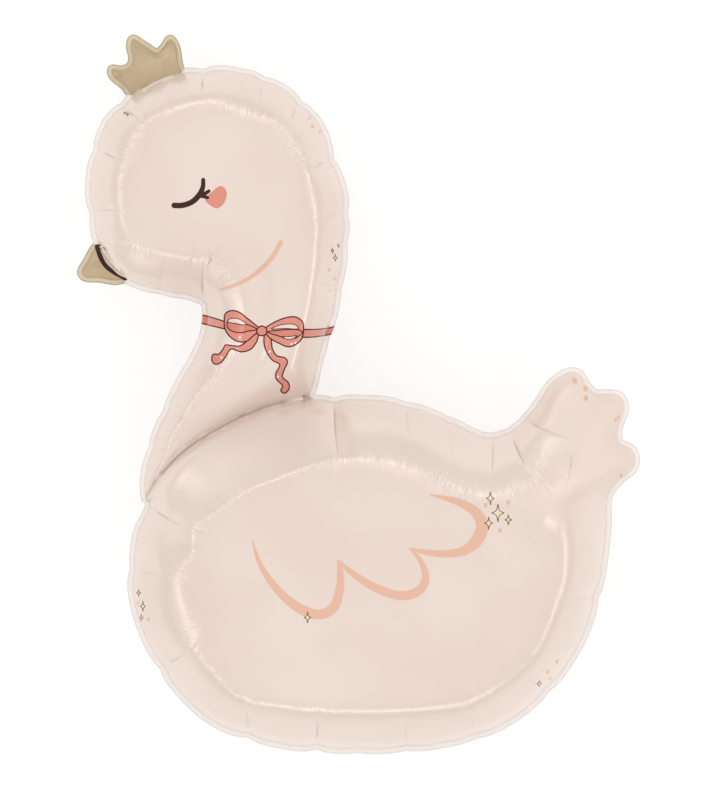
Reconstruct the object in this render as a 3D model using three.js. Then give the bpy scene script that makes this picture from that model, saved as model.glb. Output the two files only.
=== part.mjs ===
// Foil balloon in the outline of a sitting swan, lying on its back with its printed face up.
// Two sheets of film are welded together along one rim and blown up, so it is one sealed body.
// It has four lobes: body with tail, head with neck, crown, and beak. Valleys run where they meet.
import * as THREE from 'three';

// Driving sizes, in millimetres
const height = 910;
const seamWidth = 6;
const rimThickness = 0.8;
const bodyDepth = 280;
const headDepth = 188;
const crownDepth = 30;
const beakDepth = 22;
const flatDepth = 1.5;

// Spacing of the surface points, in millimetres
const outlineStep = 3;
const wideStep = 11;
const smallStep = 5;
const gridStep = 16;
const wideInnerRing = 9;
const wideOuterRing = 2.5;
const smallInnerRing = 4.5;
const smallOuterRing = 1.5;

// Share of its depth that a lobe loses in the middle, where taut film lies flatter than an ellipse
const flattening = 0.15;

// The tail narrows to this share of the body's fullness, over this reach from its tip
const tail = { x: 37.5, y: 46, reach: 26, share: 0.5 };

// Outlines of the weld, in hundredths of the height: x from the middle, y from the lowest point.
// Each runs anticlockwise, and passes under its neighbour where the two lobes meet.
const bodyOutline = [
  [-31.4, 28.2], [-31.7, 22.8], [-29.9, 16.3], [-26.0, 9.7], [-19.9, 4.2], [-10.6, 1.3],
  [0.0, 0.6], [10.6, 1.3], [18.9, 3.6], [25.7, 8.6], [30.5, 15.3], [33.2, 23.1], [34.3, 31.2],
  [34.6, 36.0], [36.2, 38.2], [38.1, 39.9], [38.0, 42.1], [36.0, 43.5], [35.9, 45.3],
  [36.8, 48.1], [36.2, 49.7], [34.5, 50.1], [32.8, 50.1], [31.6, 51.2], [30.4, 52.9],
  [29.1, 53.1], [26.8, 51.7], [23.9, 47.7], [20.6, 44.8], [17.2, 44.2], [12.2, 46.5],
  [5.6, 48.8], [-1.4, 49.4], [-6.4, 49.4], [-12.2, 49.8], [-19.6, 47.0], [-26.0, 42.6],
  [-29.2, 37.8], [-30.0, 33.1], [-30.8, 31.3],
];
const headOutline = [
  [-36.4, 70.7], [-34.8, 67.9], [-32.0, 65.8], [-27.8, 64.4], [-23.6, 63.6], [-21.6, 61.9],
  [-21.7, 58.3], [-24.2, 53.3], [-27.1, 47.6], [-29.1, 42.3], [-30.0, 37.4], [-29.3, 34.6],
  [-26.0, 37.3], [-21.8, 41.0], [-15.6, 44.8], [-9.7, 48.0], [-7.0, 50.2], [-5.8, 54.5],
  [-4.0, 60.1], [-2.8, 65.9], [-2.1, 71.5], [-2.1, 77.1], [-3.6, 82.2], [-5.8, 87.8],
  [-10.0, 92.1], [-15.3, 94.6], [-20.6, 95.2], [-26.1, 94.4], [-30.2, 92.5], [-32.4, 91.0],
  [-34.7, 88.7], [-36.2, 86.0], [-37.1, 83.2], [-37.6, 77.7], [-37.0, 73.4],
];
const crownOutline = [
  [-31.4, 91.5], [-28.4, 91.8], [-25.0, 94.0], [-25.3, 96.2], [-25.7, 98.4], [-26.4, 99.4],
  [-27.2, 98.3], [-28.2, 97.5], [-30.0, 98.5], [-31.6, 99.4], [-31.9, 98.5], [-31.6, 96.8],
  [-31.9, 95.7], [-33.1, 95.1], [-34.5, 95.2], [-34.4, 94.4], [-32.8, 93.0],
];
const beakOutline = [
  [-36.8, 70.4], [-37.8, 68.7], [-38.7, 67.0], [-38.3, 66.4], [-36.2, 66.2], [-33.7, 65.9],
  [-32.3, 66.6], [-33.9, 69.0], [-35.7, 70.9],
];

// A smooth closed loop through an outline's points, at real size
function smoothLoop(outline, step) {
  const points = outline.map(([x, y]) => new THREE.Vector3(x, y, 0).multiplyScalar(height / 100));
  const curve = new THREE.CatmullRomCurve3(points, true, 'centripetal');
  const count = Math.round(curve.getLength() / step);
  return curve.getSpacedPoints(count).slice(0, count);
}

function isInside(loop, x, y) {
  let inside = false;
  for (let i = 0, j = loop.length - 1; i < loop.length; j = i, i += 1) {
    const a = loop[i];
    const b = loop[j];
    if (a.y > y !== b.y > y && x < ((b.x - a.x) * (y - a.y)) / (b.y - a.y) + a.x) inside = !inside;
  }
  return inside;
}

// How much room the loop leaves round a point: near the edge it is the distance to the edge,
// and in the middle of a disc it is half the radius. It is smooth all over the lobe.
function roomInside(loop, x, y) {
  let sum = 0;
  for (let i = 0, j = loop.length - 1; i < loop.length; j = i, i += 1) {
    const dx = loop[i].x - loop[j].x;
    const dy = loop[i].y - loop[j].y;
    const length = Math.hypot(dx, dy);
    const along = ((x - loop[j].x) * dx + (y - loop[j].y) * dy) / length;
    const away = Math.abs((x - loop[j].x) * dy - (y - loop[j].y) * dx) / length + 1e-9;
    sum += Math.atan2(length * away, away * away + along * (along - length)) / away;
  }
  return Math.PI / sum;
}

function makeLobe(outline, depth, step, rings, taper) {
  const loop = smoothLoop(outline, outlineStep);
  const box = new THREE.Box3().setFromPoints(loop);
  const probe = (box.max.y - box.min.y) / 30;
  let fullest = 0;
  for (let x = box.min.x; x < box.max.x; x += probe) {
    for (let y = box.min.y; y < box.max.y; y += probe) {
      if (isInside(loop, x, y)) fullest = Math.max(fullest, roomInside(loop, x, y));
    }
  }
  return { loop, depth, step, rings, taper, fullest };
}

// Half the thickness of one blown-up lobe over a point of the weld's plane
function lobeHeight(lobe, x, y) {
  if (!isInside(lobe.loop, x, y)) return 0;
  const fill = roomInside(lobe.loop, x, y) / lobe.fullest;
  const dome = Math.sqrt(fill) * (1 - flattening * fill * fill) / (1 - flattening);
  const taper = lobe.taper;
  if (!taper) return (lobe.depth / 2) * dome;
  const unit = height / 100;
  const away = Math.hypot(x - taper.x * unit, y - taper.y * unit) / (taper.reach * unit);
  const share = THREE.MathUtils.lerp(taper.share, 1, THREE.MathUtils.smootherstep(away, 0, 1));
  return (lobe.depth / 2) * dome * share;
}

const wideRings = [wideOuterRing, wideInnerRing];
const smallRings = [smallOuterRing, smallInnerRing];
const lobes = [
  makeLobe(bodyOutline, bodyDepth, wideStep, wideRings, tail),
  makeLobe(headOutline, headDepth, wideStep, wideRings, null),
  makeLobe(crownOutline, crownDepth, smallStep, smallRings, null),
  makeLobe(beakOutline, beakDepth, smallStep, smallRings, null),
];
const balloonHeight = (x, y) => Math.max(...lobes.map((lobe) => lobeHeight(lobe, x, y)));

// Where two stretches cross, as shares along each, or null
function crossing(a, b, c, d) {
  const det = (b.x - a.x) * (d.y - c.y) - (b.y - a.y) * (d.x - c.x);
  if (det === 0) return null;
  const s = ((c.x - a.x) * (d.y - c.y) - (c.y - a.y) * (d.x - c.x)) / det;
  const t = ((c.x - a.x) * (b.y - a.y) - (c.y - a.y) * (b.x - a.x)) / det;
  return s > 1e-7 && s <= 1 && t >= 0 && t < 1 ? { s, t } : null;
}

// Follows the outermost loop all the way round, changing to the next loop where two cross
function walkRim() {
  const loops = lobes.map((lobe) => lobe.loop);
  const lowest = loops[0].reduce((best, p, i) => (p.y < loops[0][best].y ? i : best), 0);
  const path = [];
  let lobe = 0;
  let index = lowest;
  let from = loops[0][lowest];
  do {
    const to = loops[lobe][(index + 1) % loops[lobe].length];
    let turn = null;
    loops.forEach((other, m) => {
      if (m === lobe) return;
      for (let j = 0; j < other.length; j += 1) {
        const hit = crossing(from, to, other[j], other[(j + 1) % other.length]);
        if (hit && (!turn || hit.s < turn.s)) turn = { s: hit.s, m, j };
      }
    });
    if (turn) {
      from = new THREE.Vector3().lerpVectors(from, to, turn.s);
      path.push({ point: from, lobe, meets: turn.m });
      lobe = turn.m;
      index = turn.j;
    } else {
      index = (index + 1) % loops[lobe].length;
      from = to;
      path.push({ point: from, lobe, meets: null });
    }
  } while (lobe !== 0 || index !== lowest);
  return path;
}

// Evenly spaced points along the rim, with one on each corner where two lobes meet
function spaceRim(path) {
  const first = path.findIndex((p) => p.meets !== null);
  const turned = [...path.slice(first), ...path.slice(0, first + 1)];
  const rim = [];
  let stretch = [turned[0].point];
  for (let i = 1; i < turned.length; i += 1) {
    stretch.push(turned[i].point);
    if (turned[i].meets === null) continue;
    const lobe = lobes[turned[i].lobe];
    const lengths = [0];
    for (let k = 1; k < stretch.length; k += 1) {
      lengths.push(lengths[k - 1] + stretch[k].distanceTo(stretch[k - 1]));
    }
    const total = lengths[lengths.length - 1];
    const count = Math.max(2, Math.round(total / lobe.step));
    let k = 0;
    for (let n = 0; n < count; n += 1) {
      const at = (total * n) / count;
      while (lengths[k + 1] < at) k += 1;
      const share = (at - lengths[k]) / (lengths[k + 1] - lengths[k]);
      rim.push(new THREE.Vector3().lerpVectors(stretch[k], stretch[k + 1], share));
      rim[rim.length - 1].rings = lobe.rings;
    }
    stretch = [turned[i].point];
  }
  return rim;
}

function outwardNormal(loop, i) {
  const before = loop[(i + loop.length - 1) % loop.length];
  const after = loop[(i + 1) % loop.length];
  return new THREE.Vector3(after.y - before.y, before.x - after.x, 0).normalize();
}

// The trimmed edge, one weld's width outside the rim. In a notch its points gather in one corner.
function trimmedEdge(rim) {
  const edge = rim.map((p, i) => p.clone().addScaledVector(outwardNormal(rim, i), seamWidth));
  const count = edge.length;
  const reach = Math.ceil((4 * seamWidth) / smallStep);
  for (let i = 0; i < count; i += 1) {
    for (let span = reach; span >= 2; span -= 1) {
      const j = (i + span) % count;
      const hit = crossing(edge[i], edge[(i + 1) % count], edge[j], edge[(j + 1) % count]);
      if (!hit) continue;
      const corner = new THREE.Vector3().lerpVectors(edge[i], edge[(i + 1) % count], hit.s);
      for (let k = 1; k <= span; k += 1) edge[(i + k) % count] = corner;
      break;
    }
  }
  return edge;
}

// The valley between two lobes, from one corner of the rim to the other
function traceValley(a, b, start, end) {
  const step = Math.min(a.step, b.step);
  const over = (p) => lobeHeight(a, p.x, p.y) ** 2 - lobeHeight(b, p.x, p.y) ** 2;
  const valley = [];
  let last = start.clone();
  let heading = end.clone().sub(start).normalize();
  const most = Math.ceil((2 * start.distanceTo(end)) / step);
  while (last.distanceTo(end) > 1.4 * step && valley.length < most) {
    const middle = last.clone().addScaledVector(heading, step);
    const side = new THREE.Vector3(-heading.y, heading.x, 0);
    const low = middle.clone().addScaledVector(side, -step);
    const high = middle.clone().addScaledVector(side, step);
    const rising = over(high) > over(low);
    for (let k = 0; k < 20; k += 1) {
      const half = low.clone().lerp(high, 0.5);
      if (over(half) > 0 === rising) high.copy(half);
      else low.copy(half);
    }
    heading = low.clone().sub(last).normalize();
    last = low.clone();
    valley.push(last);
  }
  return valley;
}

function traceValleys(path) {
  const corners = path.filter((p) => p.meets !== null);
  const valleys = [];
  corners.forEach((start, i) => {
    const end = corners.find((q, j) => j > i && q.lobe === start.meets && q.meets === start.lobe);
    if (end) valleys.push(...traceValley(lobes[start.lobe], lobes[start.meets], start.point, end.point));
  });
  return valleys;
}

const nearest = (points, p) => Math.min(...points.map((q) => q.distanceTo(p)));

function distanceToLoop(loop, p) {
  const line = new THREE.Line3();
  const foot = new THREE.Vector3();
  return Math.min(...loop.map((q, i) => {
    line.set(q, loop[(i + 1) % loop.length]);
    return line.closestPointToPoint(p, true, foot).distanceTo(p);
  }));
}

// Points inside the rim: rings close to it, where the film is steep, then a grid of triangles
function innerPoints(rim, valleys) {
  const inner = [...valleys];
  for (const level of [0, 1]) {
    rim.forEach((p, i) => {
      const depth = p.rings[level];
      const q = p.clone().addScaledVector(outwardNormal(rim, i), -depth);
      const free = isInside(rim, q.x, q.y) && distanceToLoop(rim, q) > 0.8 * depth;
      if (free && nearest(inner, q) > 0.9 * depth) inner.push(q);
    });
  }
  const box = new THREE.Box3().setFromPoints(rim);
  const rows = Math.floor((box.max.y - box.min.y) / (gridStep * Math.sqrt(0.75)));
  for (let row = 0; row <= rows; row += 1) {
    const y = box.min.y + row * gridStep * Math.sqrt(0.75);
    for (let x = box.min.x + (row % 2) * gridStep / 2; x < box.max.x; x += gridStep) {
      const q = new THREE.Vector3(x, y, 0);
      if (isInside(rim, x, y) && nearest(inner, q) > 0.6 * gridStep) inner.push(q);
    }
  }
  return inner;
}

// Delaunay triangles over the points, built up one point at a time
function delaunay(points) {
  const far = 20 * height;
  const count = points.length;
  const jitter = points.map((p, i) => [p.x + 1e-4 * Math.sin(37 * i), p.y + 1e-4 * Math.cos(53 * i)]);
  const all = [...jitter, [-far, -far], [far, -far], [0, far]];
  const circled = (a, b, c) => {
    const [ax, ay] = all[a];
    const bx = all[b][0] - ax;
    const by = all[b][1] - ay;
    const cx = all[c][0] - ax;
    const cy = all[c][1] - ay;
    const double = 2 * (bx * cy - by * cx);
    const x = (cy * (bx * bx + by * by) - by * (cx * cx + cy * cy)) / double;
    const y = (bx * (cx * cx + cy * cy) - cx * (bx * bx + by * by)) / double;
    return { corners: [a, b, c], x: x + ax, y: y + ay, square: x * x + y * y };
  };
  let triangles = [circled(count, count + 1, count + 2)];
  for (let i = 0; i < count; i += 1) {
    const [x, y] = all[i];
    const border = new Map();
    const kept = [];
    for (const t of triangles) {
      if ((t.x - x) ** 2 + (t.y - y) ** 2 > t.square) {
        kept.push(t);
        continue;
      }
      t.corners.forEach((a, k) => {
        const b = t.corners[(k + 1) % 3];
        if (!border.delete(`${b} ${a}`)) border.set(`${a} ${b}`, [a, b]);
      });
    }
    for (const [a, b] of border.values()) kept.push(circled(a, b, i));
    triangles = kept;
  }
  return triangles.map((t) => t.corners).filter((t) => Math.max(...t) < count);
}

// One sheet's triangles inside the rim. A rim edge that they miss is split, and they are made anew.
function fillSheet(rim, inner) {
  for (;;) {
    const points = [...rim, ...inner];
    const triangles = delaunay(points).filter(([a, b, c]) => {
      const middle = points[a].clone().add(points[b]).add(points[c]).divideScalar(3);
      return isInside(rim, middle.x, middle.y);
    });
    const edges = new Set(triangles.flatMap(([a, b, c]) => [`${a} ${b}`, `${b} ${c}`, `${c} ${a}`]));
    const whole = rim.flatMap((p, i) => {
      const next = (i + 1) % rim.length;
      if (edges.has(`${i} ${next}`)) return [p];
      const middle = p.clone().lerp(rim[next], 0.5);
      middle.rings = p.rings;
      return [p, middle];
    });
    if (whole.length === rim.length) return { rim, points, triangles };
    rim = whole;
  }
}

// The closed body: front sheet, back sheet, the welded rim's two faces and its cut edge
function closeBody(sheet) {
  const { rim, points, triangles } = sheet;
  const edge = trimmedEdge(rim);
  const places = new Map();
  const heights = points.map((p, i) => (i < rim.length ? 0 : balloonHeight(p.x, p.y)));
  points.forEach((p, i) => places.set(p, heights[i]));
  edge.forEach((p) => places.set(p, 0));
  const flat = [...places.keys()];
  const order = new Map(flat.map((p, i) => [p, i]));
  const offset = flat.length;
  const vertices = [];
  for (const side of [1, -1]) {
    for (const p of flat) vertices.push(new THREE.Vector3(p.x, p.y, side * (places.get(p) + rimThickness / 2)));
  }
  const faces = [];
  const addBoth = (a, b, c) => {
    if (a === b || b === c || c === a) return;
    faces.push([a, b, c], [a + offset, c + offset, b + offset]);
  };
  triangles.forEach(([a, b, c]) => addBoth(a, b, c));
  rim.forEach((p, i) => {
    const next = (i + 1) % rim.length;
    const [a, b] = [order.get(edge[i]), order.get(edge[next])];
    addBoth(i, a, next);
    addBoth(next, a, b);
    if (a !== b) faces.push([a, a + offset, b], [b, a + offset, b + offset]);
  });
  return { vertices, faces };
}

function centreOfVolume({ vertices, faces }) {
  const centre = new THREE.Vector3();
  let volume = 0;
  for (const [a, b, c] of faces) {
    const piece = vertices[a].dot(vertices[b].clone().cross(vertices[c]));
    const sum = vertices[a].clone().add(vertices[b]).add(vertices[c]);
    centre.addScaledVector(sum, piece / 4);
    volume += piece;
  }
  return centre.divideScalar(volume);
}

// The value in a range that gives the most, for a measure with one hump
function best(low, high, measure) {
  for (let k = 0; k < 40; k += 1) {
    const third = (high - low) / 3;
    if (measure(low + third) < measure(high - third)) low += third;
    else high -= third;
  }
  return (low + high) / 2;
}

// The floor it lies on: of all planes under it, the one that is highest below its centre
function restingNormal(body) {
  const centre = centreOfVolume(body);
  const back = body.vertices.filter((p) => p.z < -rimThickness);
  const room = (sx, sy) => {
    let least = Infinity;
    for (const p of back) least = Math.min(least, p.z - sx * (p.x - centre.x) - sy * (p.y - centre.y));
    return least;
  };
  const steepest = 0.3;
  const bestAcross = (sy) => best(-steepest, steepest, (sx) => room(sx, sy));
  const sy = best(-steepest, steepest, (slope) => room(bestAcross(slope), slope));
  return new THREE.Vector3(-bestAcross(sy), -sy, 1).normalize();
}

// Lays the body on its back, and presses the spots that touch the floor flat
function layDown(body) {
  const turn = new THREE.Quaternion().setFromUnitVectors(restingNormal(body), new THREE.Vector3(0, 0, 1));
  body.vertices.forEach((p) => p.applyQuaternion(turn));
  const box = new THREE.Box3().setFromPoints(body.vertices);
  const middle = box.getCenter(new THREE.Vector3());
  const floor = box.min.z + flatDepth;
  for (const p of body.vertices) p.set(p.x - middle.x, p.y - middle.y, Math.max(p.z - floor, 0));
}

const path = walkRim();
const rim = spaceRim(path);
const body = closeBody(fillSheet(rim, innerPoints(rim, traceValleys(path))));
layDown(body);

const geometry = new THREE.BufferGeometry().setFromPoints(body.vertices);
geometry.setIndex(body.faces.flat());
geometry.computeVertexNormals();
const film = new THREE.MeshStandardMaterial({ color: 0xebddd3, roughness: 0.35, metalness: 0.2 });
const balloon = new THREE.Mesh(geometry, film);
balloon.name = 'foil_balloon';

const group = new THREE.Group();
group.add(balloon);

export default group;
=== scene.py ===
import math

import bmesh
import bpy
import numpy as np
from mathutils import Matrix, Vector
from mathutils.kdtree import KDTree


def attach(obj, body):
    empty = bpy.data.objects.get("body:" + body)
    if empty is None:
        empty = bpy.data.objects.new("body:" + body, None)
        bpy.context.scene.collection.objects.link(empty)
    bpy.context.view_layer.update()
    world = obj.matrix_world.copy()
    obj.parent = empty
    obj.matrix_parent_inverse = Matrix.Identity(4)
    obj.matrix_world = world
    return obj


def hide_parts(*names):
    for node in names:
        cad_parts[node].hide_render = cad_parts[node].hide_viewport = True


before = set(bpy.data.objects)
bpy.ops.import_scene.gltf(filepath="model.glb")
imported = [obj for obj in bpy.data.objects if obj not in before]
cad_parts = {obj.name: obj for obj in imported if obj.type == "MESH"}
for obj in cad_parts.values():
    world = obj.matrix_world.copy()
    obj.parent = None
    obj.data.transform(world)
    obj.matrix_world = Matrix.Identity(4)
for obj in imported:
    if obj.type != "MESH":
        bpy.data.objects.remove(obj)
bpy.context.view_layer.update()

# The envelope
# Two sheets of pearly film, welded together round the swan's outline and blown up hard. It has four
# lobes: the body with its tail, the head with its neck, the crown and the beak.

HEIGHT = 0.910
UNIT = HEIGHT / 100
WELD_WIDTH = 0.006
WELD_HALF = 0.0004
WELD_STEP = 0.001
FLATTENING = 0.15

# Outlines of the weld, in hundredths of the height: x from the middle, y from the lowest point.
BODY_OUTLINE = [
    (-31.4, 28.2), (-31.7, 22.8), (-29.9, 16.3), (-26.0, 9.7), (-19.9, 4.2), (-10.6, 1.3),
    (0.0, 0.6), (10.6, 1.3), (18.9, 3.6), (25.7, 8.6), (30.5, 15.3), (33.2, 23.1), (34.3, 31.2),
    (34.6, 36.0), (36.2, 38.2), (38.1, 39.9), (38.0, 42.1), (36.0, 43.5), (35.9, 45.3),
    (36.8, 48.1), (36.2, 49.7), (34.5, 50.1), (32.8, 50.1), (31.6, 51.2), (30.4, 52.9),
    (29.1, 53.1), (26.8, 51.7), (23.9, 47.7), (20.6, 44.8), (17.2, 44.2), (12.2, 46.5),
    (5.6, 48.8), (-1.4, 49.4), (-6.4, 49.4), (-12.2, 49.8), (-19.6, 47.0), (-26.0, 42.6),
    (-29.2, 37.8), (-30.0, 33.1), (-30.8, 31.3),
]
HEAD_OUTLINE = [
    (-36.4, 70.7), (-34.8, 67.9), (-32.0, 65.8), (-27.8, 64.4), (-23.6, 63.6), (-21.6, 61.9),
    (-21.7, 58.3), (-24.2, 53.3), (-27.1, 47.6), (-29.1, 42.3), (-30.0, 37.4), (-29.3, 34.6),
    (-26.0, 37.3), (-21.8, 41.0), (-15.6, 44.8), (-9.7, 48.0), (-7.0, 50.2), (-5.8, 54.5),
    (-4.0, 60.1), (-2.8, 65.9), (-2.1, 71.5), (-2.1, 77.1), (-3.6, 82.2), (-5.8, 87.8),
    (-10.0, 92.1), (-15.3, 94.6), (-20.6, 95.2), (-26.1, 94.4), (-30.2, 92.5), (-32.4, 91.0),
    (-34.7, 88.7), (-36.2, 86.0), (-37.1, 83.2), (-37.6, 77.7), (-37.0, 73.4),
]
CROWN_OUTLINE = [
    (-31.4, 91.5), (-28.4, 91.8), (-25.0, 94.0), (-25.3, 96.2), (-25.7, 98.4), (-26.4, 99.4),
    (-27.2, 98.3), (-28.2, 97.5), (-30.0, 98.5), (-31.6, 99.4), (-31.9, 98.5), (-31.6, 96.8),
    (-31.9, 95.7), (-33.1, 95.1), (-34.5, 95.2), (-34.4, 94.4), (-32.8, 93.0),
]
BEAK_OUTLINE = [
    (-36.8, 70.4), (-37.8, 68.7), (-38.7, 67.0), (-38.3, 66.4), (-36.2, 66.2), (-33.7, 65.9),
    (-32.3, 66.6), (-33.9, 69.0), (-35.7, 70.9),
]
TAIL_TIP = (37.5, 46.0)
TAIL_REACH = 26.0
TAIL_SHARE = 0.5


def smooth_line(points, step, closed):
    """Points a step apart on a smooth curve through the given ones; a third value rides along."""
    knots = np.array(points, float)
    if closed:
        knots = np.vstack([knots[-1], knots, knots[:2]])
    else:
        knots = np.vstack([2 * knots[0] - knots[1], knots, 2 * knots[-1] - knots[-2]])
    dense = []
    t = np.linspace(0, 1, 24, endpoint=False)[:, None]
    for a, b, c, d in zip(knots, knots[1:], knots[2:], knots[3:]):
        ab, bc, cd = (math.sqrt(math.hypot(*(q - p)[:2])) for p, q in ((a, b), (b, c), (c, d)))
        start = ((b - a) / ab - (c - a) / (ab + bc) + (c - b) / bc) * bc
        end = ((c - b) / bc - (d - b) / (bc + cd) + (d - c) / cd) * bc
        square, cube = t * t, t ** 3
        dense.append((2 * cube - 3 * square + 1) * b + (cube - 2 * square + t) * start
                     + (3 * square - 2 * cube) * c + (cube - square) * end)
    dense = np.vstack(dense + [knots[-2][None]]) * UNIT
    along = np.append(0, np.cumsum(np.hypot(*np.diff(dense[:, :2], axis=0).T)))
    count = max(3, round(along[-1] / step))
    places = np.linspace(0, along[-1], count, endpoint=not closed)
    return np.column_stack([np.interp(places, along, column) for column in dense.T])


def is_inside(loop, points):
    a, b = loop, np.roll(loop, -1, 0)
    inside = np.zeros(len(points), bool)
    for p, q in zip(a, b):
        spans = (p[1] > points[:, 1]) != (q[1] > points[:, 1])
        slope = (q[0] - p[0]) / (q[1] - p[1] + 1e-15)
        inside ^= spans & (points[:, 0] < p[0] + slope * (points[:, 1] - p[1]))
    return inside


def nearest_on(line, points, closed):
    """For each point: distance to the line, distance along it, nearest place, the third value there."""
    tree = KDTree(len(line))
    for i, p in enumerate(line):
        tree.insert((p[0], p[1], 0), i)
    tree.balance()
    index = np.array([tree.find((x, y, 0))[1] for x, y in points], int)
    step = np.append(0, np.cumsum(np.hypot(*np.diff(line[:, :2], axis=0).T)))
    best = np.full(len(points), 9.0)
    along, value = np.zeros(len(points)), np.zeros(len(points))
    foot = np.zeros((len(points), 2))
    for shift in (-1, 0):
        i = index + shift
        j = i + 1
        if closed:
            i, j = i % len(line), j % len(line)
        else:
            i, j = np.clip(i, 0, None), np.clip(j, 0, len(line) - 1)
        a, b = line[i], line[j]
        reach = (b - a)[:, :2]
        square = np.maximum((reach ** 2).sum(1), 1e-18)
        t = np.clip(((points - a[:, :2]) * reach).sum(1) / square, 0, 1)
        place = a[:, :2] + t[:, None] * reach
        distance = np.hypot(*(points - place).T)
        closer = distance < best
        best[closer] = distance[closer]
        foot[closer] = place[closer]
        along[closer] = (step[i] + t * np.sqrt(square))[closer]
        if line.shape[1] > 2:
            value[closer] = (a[:, 2] + t * (b - a)[:, 2])[closer]
    return best, along, foot, value


def room_inside(loop, points):
    """Near the edge the distance to it, and in the middle of a disc half the radius."""
    a, b = loop[:, :2], np.roll(loop[:, :2], -1, 0)
    reach = b - a
    length = np.hypot(*reach.T)
    room = np.empty(len(points))
    for first in range(0, len(points), 4000):
        p = points[first:first + 4000, None, :] - a[None]
        along = (p * reach).sum(-1) / length
        away = np.abs(p[..., 0] * reach[:, 1] - p[..., 1] * reach[:, 0]) / length + 1e-9
        seen = np.arctan2(length * away, away ** 2 + along * (along - length)) / away
        room[first:first + 4000] = math.pi / seen.sum(1)
    return room


def ramp(value, low, high):
    t = np.clip((value - low) / (high - low), 0, 1)
    return t * t * (3 - 2 * t)


class Lobe:
    """One blown-up lobe: its weld line, its depth, and the room and height inside it."""

    def __init__(self, outline, depth, step, edge_zone):
        self.depth = depth
        self.edge_zone = edge_zone
        self.fine = smooth_line(outline, WELD_STEP, True)
        self.length = np.hypot(*(self.fine - np.roll(self.fine, 1, 0)).T).sum()
        ahead = np.roll(self.fine, -2, 0) - np.roll(self.fine, 2, 0)
        self.tangents = ahead / np.hypot(*ahead.T)[:, None]
        self.loop = smooth_line(outline, step, True)
        low, high = self.loop.min(0), self.loop.max(0)
        probe = (high[1] - low[1]) / 30
        columns, rows = np.arange(low[0], high[0], probe), np.arange(low[1], high[1], probe)
        grid = np.stack(np.meshgrid(columns, rows), -1).reshape(-1, 2)
        self.fullest = room_inside(self.loop, grid[is_inside(self.loop, grid)]).max()

    def measure(self, points):
        """Inset from the weld, distance along it, and the direction into the lobe."""
        distance, along, foot, _ = nearest_on(self.fine, points, True)
        inset = np.where(is_inside(self.fine, points), distance, -distance)
        place = along / self.length * len(self.fine)
        tangent = self.tangents[np.round(place).astype(int) % len(self.fine)]
        left = np.column_stack([-tangent[:, 1], tangent[:, 0]])
        straight = (points - foot) / np.where(np.abs(inset) < 1e-9, 1, inset)[:, None]
        return inset, along, np.where((distance > 0.002)[:, None], straight, left)

    def room(self, points, inset, inward):
        """The room at each point, and how far it is from the weld towards the middle, 0 to 1."""
        room = np.zeros(len(points))
        inside = inset > 0
        held = np.maximum(self.edge_zone - inset[inside], 0)
        probe = points[inside] + inward[inside] * held[:, None]
        room[inside] = room_inside(self.loop, probe)
        depth_share = np.clip(2 - 2 * room / np.maximum(inset, self.edge_zone), 0, 1)
        room[inside] *= np.where(held > 0, inset[inside] / self.edge_zone, 1)
        return room, depth_share

    def height(self, room):
        """Half the thickness of the blown-up lobe where it has this much room."""
        fill = room / self.fullest
        return self.depth / 2 * np.sqrt(fill) * (1 - FLATTENING * fill ** 2) / (1 - FLATTENING)


body = Lobe(BODY_OUTLINE, 0.280, 0.004, 0.004)
head = Lobe(HEAD_OUTLINE, 0.188, 0.004, 0.004)
crown = Lobe(CROWN_OUTLINE, 0.030, 0.001, 0.001)
beak = Lobe(BEAK_OUTLINE, 0.022, 0.001, 0.001)
LOBES = (body, head, crown, beak)

# Pleats run in from the weld: where each starts, where it ends, and how strong it is.
BODY_PLEATS = [
    ((-29.9, 34.6), (-23.6, 31.2), 1.0), ((-31.7, 25.7), (-25.9, 24.6), 0.6),
    ((-27.4, 12.2), (-22.4, 15.2), 0.8), ((-15.6, 2.5), (-15.7, 7.0), 0.9),
    ((-6.0, 1.0), (-5.8, 6.4), 1.0), ((-0.3, 0.6), (-0.6, 5.1), 0.4),
    ((6.4, 0.8), (6.3, 5.3), 0.6), ((16.1, 2.6), (15.2, 5.8), 0.5),
    ((25.9, 8.9), (22.8, 11.1), 0.6), ((33.2, 21.7), (29.2, 21.8), 0.7),
    ((34.5, 35.9), (32.0, 36.7), 0.5), ((36.0, 43.4), (32.8, 43.7), 0.3),
    ((31.4, 51.2), (28.7, 49.2), 0.3), ((22.3, 46.6), (29.6, 43.3), 0.9),
    ((20.9, 44.5), (23.8, 38.2), 1.0), ((18.5, 44.1), (18.1, 37.3), 0.8),
    ((12.2, 46.6), (12.8, 40.6), 0.4), ((6.4, 48.7), (6.7, 43.4), 0.6),
    ((-3.6, 49.5), (-3.3, 41.0), 1.0),
]
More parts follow.
